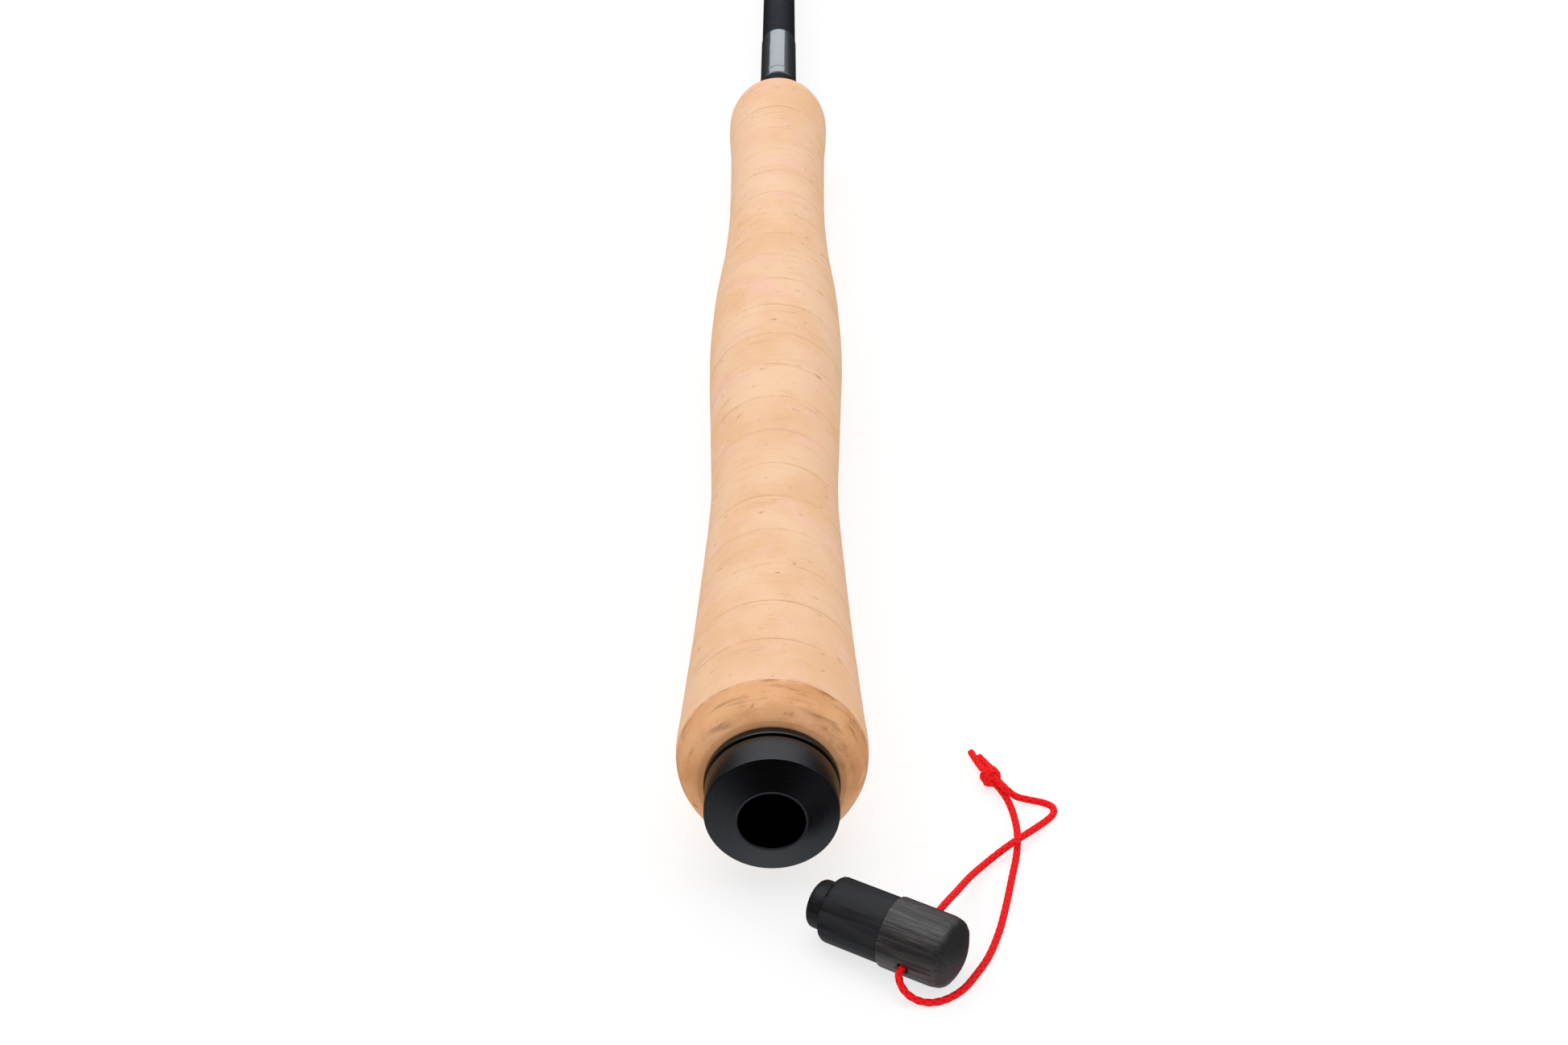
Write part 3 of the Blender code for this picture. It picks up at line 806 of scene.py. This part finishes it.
def make_grip():
    """The burl ring at the butt and the cork rings in front of it."""
    cork = cork_material(
        "cork",
        pale=colour(0.900, 0.590, 0.375),
        warm=colour(0.850, 0.510, 0.290),
        pink=colour(0.910, 0.560, 0.410),
        dark=colour(0.540, 0.270, 0.125),
        seam=colour(0.700, 0.400, 0.225),
        streaks=0.5,
    )
    burl = cork_material(
        "burl_cork",
        pale=colour(0.800, 0.425, 0.205),
        warm=colour(0.640, 0.290, 0.115),
        pink=colour(0.860, 0.460, 0.270),
        dark=colour(0.220, 0.095, 0.035),
        seam=colour(0.960, 0.760, 0.540),
        streaks=2.0,
    )
    ring = cork_ring("cork_burl_ring", "burl_ring", burl, BURL_NUMBER, pitted=0.6, tone=0.0)
    settle(ring, "handle", "burl_cork", "cork_burl_ring")
    for n in range(1, CORK_RINGS + 1):
        node = f"cork_ring_{n:02d}"
        tone = 0.5 + 0.5 * noise.noise((n * 3.37, 0.5, 0.5))
        ring = cork_ring(node, f"grip_ring_{n:02d}", cork, n, pitted=0.8, tone=tone)
        settle(ring, "handle", "cork", node)


# ---------------------------------------------------------------- the butt


def threaded(low, high, crest, root):
    """Relief that cuts a right-hand thread between two stations."""

    def relief(stations, angles, radii):
        phase = stations / THREAD_PITCH + angles / math.tau
        height = np.abs(2 * (phase % 1.0) - 1)
        here = (stations > low) & (stations < high) & (np.abs(radii - crest) < 1e-6)
        return np.where(here, root + (crest - root) * np.clip(1.4 * height - 0.2, 0, 1), radii)

    return relief


def make_butt(metal, rubber):
    """The threaded insert, the screw cap, its o-ring and the bumper in front of it."""
    place = Matrix.Translation(ROD)
    thread_step = THREAD_PITCH / THREAD_ROWS
    flange_rear, barrel_front = station_range("threaded_insert")
    neck = blank_radius(barrel_front) + 0.0006
    insert = rounded((
        (barrel_front, neck),
        (barrel_front, BARREL_RADIUS, 0.0003),
        (FLANGE_FRONT, BARREL_RADIUS),
        (FLANGE_FRONT, FLANGE_RADIUS, 0.00005),
        (flange_rear, FLANGE_RADIUS, 0.00030),
        (flange_rear, INSERT_BORE, 0.00020),
        (INSERT_BORE_FRONT, INSERT_BORE),
        (INSERT_BORE_FRONT, neck),
    ))
    insert = divided(insert, thread_step)
    piece = turned(
        "threaded_insert_bush", insert, METAL_SIDES, place, metal,
        relief=threaded(*INSERT_THREAD, INSERT_BORE, INSERT_BORE + THREAD_DEPTH),
    )
    settle(piece, "handle", "black_anodised", "threaded_insert")

    cap_rear, spigot_front = station_range("butt_cap")
    cap = rounded((
        (spigot_front, 0.0),
        (spigot_front, SPIGOT_RADIUS, 0.0004),
        (SPIGOT_REAR, SPIGOT_RADIUS),
        (CAP_THREAD[1], THREAD_RADIUS),
        (GROOVE_FLOOR, THREAD_RADIUS),
        (GROOVE_FLOOR, GROOVE_RADIUS, 0.00005),
        (CAP_SKIRT_FRONT, GROOVE_RADIUS),
        (CAP_SKIRT_FRONT, CAP_RADIUS, 0.00025),
        (CAP_CONE_FRONT, CAP_RADIUS, 0.00012),
        (cap_rear, CAP_RIM_RADIUS, 0.00010),
        (cap_rear, POCKET_RADIUS, 0.00018),
        (POCKET_FLOOR, POCKET_RADIUS, 0.0006),
        (POCKET_FLOOR, 0.0),
    ))
    cap = divided(cap, thread_step)
    piece = turned(
        "butt_cap_shell", cap, METAL_SIDES, place, metal,
        relief=threaded(*CAP_THREAD, THREAD_RADIUS, THREAD_RADIUS - THREAD_DEPTH),
    )
    settle(piece, "butt_cap", "black_anodised", "butt_cap")

    seal = [
        (SEAL_STATION + SEAL_SECTION * math.cos(turn), SEAL_RADIUS + SEAL_SECTION * math.sin(turn))
        for turn in -np.linspace(0, math.tau, 24, endpoint=False)
    ]
    piece = turned("cap_seal", seal, METAL_SIDES, place, rubber)
    settle(piece, "butt_cap", "black_rubber", "cap_o_ring")

    rear, front = station_range("butt_bumper")
    bumper = rounded((
        (front, 0.0),
        (front, 0.0018),
        (front - 0.0003, 0.0021),
        (front - 0.0003, 0.0050),
        (front, 0.0053),
        (front, BUMPER_RADIUS, 0.0004),
        (rear, BUMPER_RADIUS, 0.0004),
        (rear, 0.0),
    ))
    piece = turned("bumper_disc", divided(bumper, 0.0004), TUBE_SIDES, place, rubber)
    settle(piece, "butt_bumper", "black_rubber", "butt_bumper")


# ---------------------------------------------------------------- the blank


def tube_outline(rear, front, rear_radius, front_radius, wall):
    """A thin tube with a rounded rim at each end."""
    rim = 0.4 * wall
    return rounded((
        (front - wall, front_radius - wall),
        (front, front_radius - wall, rim),
        (front, front_radius, rim),
        (rear, rear_radius, rim),
        (rear, rear_radius - wall, rim),
        (front - wall, front_radius - wall),
    ))[:-1]


def make_blank(carbon, wrap):
    """The handle section, the collar at the grip's nose, and the thread wrap in front of it."""
    place = Matrix.Translation(ROD)
    rear, front = station_range("handle_blank")
    wall = HANDLE_WALL
    rim = 0.4 * wall
    (_, rear_radius), (bend, bend_radius), (_, front_radius) = HANDLE_OUTLINE
    outline = rounded((
        (front - wall, front_radius - wall),
        (front, front_radius - wall, rim),
        (front, front_radius, rim),
        (bend, bend_radius),
        (rear, rear_radius, rim),
        (rear, rear_radius - wall, rim),
        (bend, bend_radius - wall),
    ))
    piece = turned("handle_tube", divided(outline, 0.004), TUBE_SIDES, place, carbon)
    settle(piece, "handle", "carbon", "handle_blank")

    rear, front = station_range("winding_check")
    bore = blank_radius(rear) + 0.00006
    outline = rounded((
        (front, bore),
        (front, CHECK_FRONT_RADIUS, 0.00010),
        (rear + 0.0060, 0.00502, 0.002),
        (rear + 0.0022, CHECK_RADIUS, 0.001),
        (rear, CHECK_RADIUS, 0.0003),
        (rear, bore),
    ))
    piece = turned("check_collar", divided(outline, 0.0006), TUBE_SIDES, place, carbon)
    settle(piece, "handle", "black_rubber", "winding_check")

    rear, front = station_range("thread_wrap")
    coat = WRAP_COAT
    step = rear + WRAP_STEP
    outline = rounded((
        (front, blank_radius(front) + 0.00002),
        (front - 0.0012, blank_radius(front) + coat, 0.003),
        (step + 0.0006, blank_radius(step) + coat, 0.0010),
        (step, blank_radius(step) + 0.8 * coat, 0.0003),
        (step - 0.0006, blank_radius(step) + 1.6 * coat, 0.0010),
        (rear + 0.0008, blank_radius(rear) + 1.8 * coat, 0.0012),
        (rear, blank_radius(rear) + 0.8 * coat),
        (rear, blank_radius(rear) + 0.00002),
    ))
    piece = turned("wrap_coat", divided(outline, 0.0006), TUBE_SIDES, place, wrap)
    settle(piece, "handle", "thread_wrap", "thread_wrap")


def make_sections(carbon, wrap, cord):
    """The sections that slide out, and the lillian on the tip."""
    place = Matrix.Translation(ROD)
    for n, wall in enumerate(TUBE_WALLS, start=2):
        node = f"section_{n}"
        rear, front = station_range(node)
        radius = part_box(node)[1].z - ROD.z
        outline = tube_outline(rear, front, radius, radius - TUBE_TAPER, wall)
        piece = turned(f"section_{n}_tube", divided(outline, 0.010), TUBE_SIDES, place, carbon)
        settle(piece, node, "carbon", node)
    rear, front = station_range("section_8")
    tip = rounded((
        (front, 0.0),
        (front, TIP_FRONT_RADIUS, 0.00010),
        (rear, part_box("section_8")[1].z - ROD.z, 0.00020),
        (rear, 0.0),
    ))
    piece = turned("section_8_tip", divided(tip, 0.010), THIN_SIDES, place, carbon)
    settle(piece, "section_8", "carbon", "section_8")

    rear, front = station_range("lillian_collar")
    collar = rounded((
        (front, LILLIAN_BORE),
        (front, 0.00062, 0.00005),
        (rear, 0.00070, 0.00008),
        (rear, LILLIAN_BORE),
    ))
    piece = turned("lillian_sleeve", divided(collar, 0.0005), THIN_SIDES, place, wrap)
    settle(piece, "section_8", "thread_wrap", "lillian_collar")

    rear, front = station_range("lillian")
    path = np.array([ROD + Vector((0.0, float(s), 0.0)) for s in np.linspace(rear, front, 240)])
    lillian = cord_piece("lillian_braid", [(path, LILLIAN_RADIUS)], cord)
    settle(lillian, "section_8", "red_cord", "lillian")


# ---------------------------------------------------------------- the tip plug


def plug_place():
    """The plug's frame: local Y along it from its nose, and local Z up."""
    ahead = Vector((math.sin(PLUG_HEADING), math.cos(PLUG_HEADING), 0.0))
    up = Vector((0.0, 0.0, 1.0))
    turn = Matrix((ahead.cross(up), ahead, up)).transposed().to_4x4()
    return Matrix.Translation(FOOT + Vector((*PLUG_NOSE, HEAD_RADIUS))) @ turn


def streaked(depth, across, along_scale):
    """Relief in fine lines along the axis."""

    def relief(stations, angles, radii):
        raised = np.array([
            noise.noise((r * math.cos(a) * across, s * along_scale, r * math.sin(a) * across))
            for s, a, r in zip(stations.flat, angles.flat, radii.flat)
        ]).reshape(radii.shape)
        return radii + np.where(radii > 0.003, depth * (raised - 0.6), 0.0)

    return relief


def make_plug(rubber, wood):
    """The rubber nose and stem, and the cross-drilled wooden head."""
    place = plug_place()
    sleeve = rounded((
        (0.0057, 0.0),
        (0.0057, 0.0029),
        (STEM_END, 0.0029),
        (STEM_END, STEM_RADIUS, 0.00005),
        (STEM_START, STEM_RADIUS, 0.0010),
        (STEM_START, NOSE_RADIUS, 0.0003),
        (0.0, NOSE_RADIUS, 0.0010),
        (0.0, 0.0),
    ))
    piece = turned(
        "plug_stem", divided(sleeve, 0.0003), METAL_SIDES, place, rubber,
        relief=streaked(depth=0.00004, across=900, along_scale=40),
    )
    settle(piece, "tip_plug", "black_rubber", "plug_sleeve")

    shoulder = STEM_END + SHOULDER_GAP
    dome = [
        (HEAD_END + DOME_HEIGHT * (1 - share * share), HEAD_RADIUS * share)
        for share in np.linspace(0.0, 0.84, 12)
    ]
    head = rounded((
        *dome,
        (HEAD_END + 0.0003, HEAD_RADIUS * 0.955, 0.0016),
        (HEAD_END - 0.0014, HEAD_RADIUS, 0.0030),
        (shoulder, HEAD_RADIUS, 0.0002),
        (shoulder, 0.0030),
        (shoulder + 0.0001, 0.0026),
        (0.0060, 0.0026, 0.0002),
        (0.0060, 0.0),
    ))
    piece = turned(
        "plug_head_wood", divided(head, 0.0003), METAL_SIDES, place, wood,
        relief=streaked(depth=0.00009, across=1500, along_scale=60),
    )
    drill_cord_hole(piece)
    settle(piece, "tip_plug", "dark_wood", "plug_head")


def drill_cord_hole(piece):
    """Drill the head across, with a small countersink at each side, and keep the result."""
    reach, sink = HEAD_RADIUS, 0.0004
    bit = rounded((
        (2 * reach, 0.0),
        (2 * reach, CORD_HOLE_RADIUS + sink + reach),
        (reach - sink, CORD_HOLE_RADIUS),
        (sink - reach, CORD_HOLE_RADIUS),
        (-2 * reach, CORD_HOLE_RADIUS + sink + reach),
        (-2 * reach, 0.0),
    ))
    across = Vector((math.cos(PLUG_ROLL), 0.0, -math.sin(PLUG_ROLL)))
    turn = across.to_track_quat("Y", "Z").to_matrix().to_4x4()
    aim = Matrix.Translation((0.0, CORD_HOLE_STATION, 0.0)) @ turn
    cutter = turned("cord_drill", bit, THIN_SIDES, piece.matrix_world @ aim, piece.active_material)
    cut = piece.modifiers.new("Cord hole", "BOOLEAN")
    cut.object = cutter
    cut.solver = "EXACT"
    graph = bpy.context.evaluated_depsgraph_get()
    drilled = bpy.data.meshes.new_from_object(piece.evaluated_get(graph))
    piece.modifiers.clear()
    piece.data = drilled
    bpy.data.objects.remove(cutter)


def knot_axes():
    """The knot's middle, the way from the loop to the tails, and the way across."""
    run = Vector(LONG_TAIL_ROUTE[0]) - Vector(LOOP_ROUTE[0])
    run.z = 0.0
    run.normalize()
    return FOOT + Vector(KNOT_CENTRE), run, Vector((run.y, -run.x, 0.0))


def knot_path():
    """The overhand knot that both ends of the cord are tied in: a trefoil wound round the run."""
    hub, run, across = knot_axes()
    up = Vector((0.0, 0.0, 1.0))
    path = []
    for t in np.linspace(0.0, math.tau, 260).tolist():
        reach = KNOT_REACH + KNOT_SWELL * math.cos(3 * t)
        side = across * math.cos(2 * t) + up * math.sin(2 * t)
        path.append(hub + side * reach + run * KNOT_WIDTH * math.sin(3 * t))
    return np.array(path)


def knot_heart():
    """The strands inside the knot, pressed to a ball, as a path and its radii."""
    hub, run, _ = knot_axes()
    travel = np.linspace(-0.99 * HEART_RADIUS, 0.99 * HEART_RADIUS, 40)
    radii = np.sqrt(HEART_RADIUS ** 2 - travel ** 2)
    return np.array([hub + run * float(t) for t in travel]), radii


def make_lanyard(cord, core):
    """The cord's two strands between the knot and the plug's head, the knot, and the two tails."""
    foot = np.array(FOOT)
    loop = smooth_route(LOOP_ROUTE, CORD_STEP) + foot
    hole = foot + np.array(LOOP_ROUTE[HOLE_POINT])
    split = int(np.linalg.norm(loop - hole, axis=1).argmin())
    strands = {"lanyard_strand_over": loop[: split + 1][::-1], "lanyard_strand_under": loop[split:]}
    knot = cord_piece("lanyard_knot_tied", [(knot_path(), CORD_RADIUS), knot_heart()], cord)
    settle(knot, "tip_plug", "red_cord", "lanyard_knot")
    routes = {"lanyard_tail_long": LONG_TAIL_ROUTE, "lanyard_tail_short": SHORT_TAIL_ROUTE}
    for node, route in routes.items():
        start = 2 * Vector(route[0]) - Vector(route[1])
        start.z = route[0][2]
        path = smooth_route((tuple(start), *route), CORD_STEP) + foot
        tail = cord_piece(f"{node}_cut", [(path, CORD_RADIUS)], cord)
        tail.data.materials.append(core)
        for face in tail.data.polygons:
            if len(face.vertices) == 3:
                face.material_index = 1
        settle(tail, "tip_plug", "red_cord", node)
    for name, path in strands.items():
        strand = cord_piece(name, [(path, CORD_RADIUS)], cord)
        settle(strand, "tip_plug", "red_cord", "lanyard_cord")


# ---------------------------------------------------------------- the studio


def make_floor():
    """A plain white floor, lit evenly like a light table, which gloss doesn't mirror."""
    bpy.ops.mesh.primitive_plane_add(size=FLOOR_SIZE, location=(0.0, 0.0, 0.0))
    floor = bpy.context.object
    floor.name = "studio_floor"
    material, tree, shader = new_material("floor_white")
    inputs = {
        "Base Color": colour(0.30, 0.30, 0.30),
        "Roughness": 0.9,
        "Specular IOR Level": 0.0,
        "Emission Color": colour(1.0, 1.0, 1.0),
        "Emission Strength": FLOOR_GLOW,
    }
    feed(tree, shader, inputs)
    floor.visible_glossy = False
    floor.data.materials.append(material)


def area_light(name, place, target, size, power, tint=(1.0, 1.0, 1.0)):
    """A softbox that faces its target."""
    light = bpy.data.lights.new(name, "AREA")
    light.shape = "RECTANGLE"
    light.size, light.size_y = size
    light.energy = power
    light.color = tint
    lamp = bpy.data.objects.new(name, light)
    bpy.context.scene.collection.objects.link(lamp)
    lamp.location = place
    lamp.rotation_euler = (Vector(target) - Vector(place)).to_track_quat("-Z", "Y").to_euler()
    return lamp


def towards(tree, direction, start, full, strength):
    """Strength in the part of the world round a direction, fading to nothing outside it."""
    way = add_node(tree, "TexCoord").outputs["Generated"]
    aim = tuple(Vector(direction).normalized())
    share = add_node(tree, "VectorMath", {0: way, 1: aim}, operation="DOT_PRODUCT").outputs["Value"]
    return ramp(tree, share, start, full, 0.0, strength)


def make_world():
    """Even white light. Gloss sees a dark room with a lit ceiling and a lit table instead."""
    world = bpy.data.worlds.new("studio")
    bpy.context.scene.world = world
    world.use_nodes = True
    tree = world.node_tree
    shine = tree.nodes["Background"]
    even = add_node(tree, "Background", {"Color": colour(1.0, 1.0, 1.0), "Strength": EVEN_LIGHT})
    ceiling = towards(tree, (0.0, 0.35, 0.94), start=0.40, full=0.85, strength=1.25)
    table = towards(tree, (0.0, -0.35, -0.94), start=0.35, full=0.75, strength=0.60)
    glow = maths(tree, "ADD", maths(tree, "ADD", ceiling, table), DARK_ROOM)
    feed(tree, shine, {"Color": colour(0.92, 0.95, 1.0), "Strength": glow})
    glossy = add_node(tree, "LightPath").outputs["Is Glossy Ray"]
    either = add_node(tree, "MixShader", {0: glossy, 1: even.outputs[0], 2: shine.outputs[0]})
    tree.links.new(either.outputs[0], tree.nodes["World Output"].inputs["Surface"])


def make_studio():
    """Floor, lights, world, camera and view."""
    make_floor()
    make_world()
    area_light(
        "overhead_box", place=(-0.15, 0.0, 1.2), target=(0.0, 0.0, 0.0), size=(1.2, 1.2), power=6.0
    )
    area_light(
        "back_box",
        place=(ROD.x - 0.05, 0.50, 0.165),
        target=(ROD.x, 0.07, 0.02),
        size=(0.32, 0.14),
        power=0.26,
        tint=(0.80, 0.90, 1.0),
    )
    camera = bpy.data.objects.new("camera", bpy.data.cameras.new("camera"))
    bpy.context.scene.collection.objects.link(camera)
    camera.data.lens = CAMERA_LENS
    camera.data.sensor_width = CAMERA_SENSOR
    camera.location = FOOT + Vector(CAMERA_PLACE)
    camera.rotation_euler = (CAMERA_PITCH, 0.0, CAMERA_YAW)
    bpy.context.scene.camera = camera
    bpy.context.scene.view_settings.view_transform = "Standard"


def main():
    metal = anodised_material()
    carbon = carbon_material()
    wrap = wrap_material()
    rubber = rubber_material()
    wood = wood_material()
    cord = cord_material()
    core = core_material()
    make_studio()
    make_lanyard(cord, core)
    make_plug(rubber, wood)
    make_grip()
    make_butt(metal, rubber)
    make_blank(carbon, wrap)
    make_sections(carbon, wrap, cord)


main()
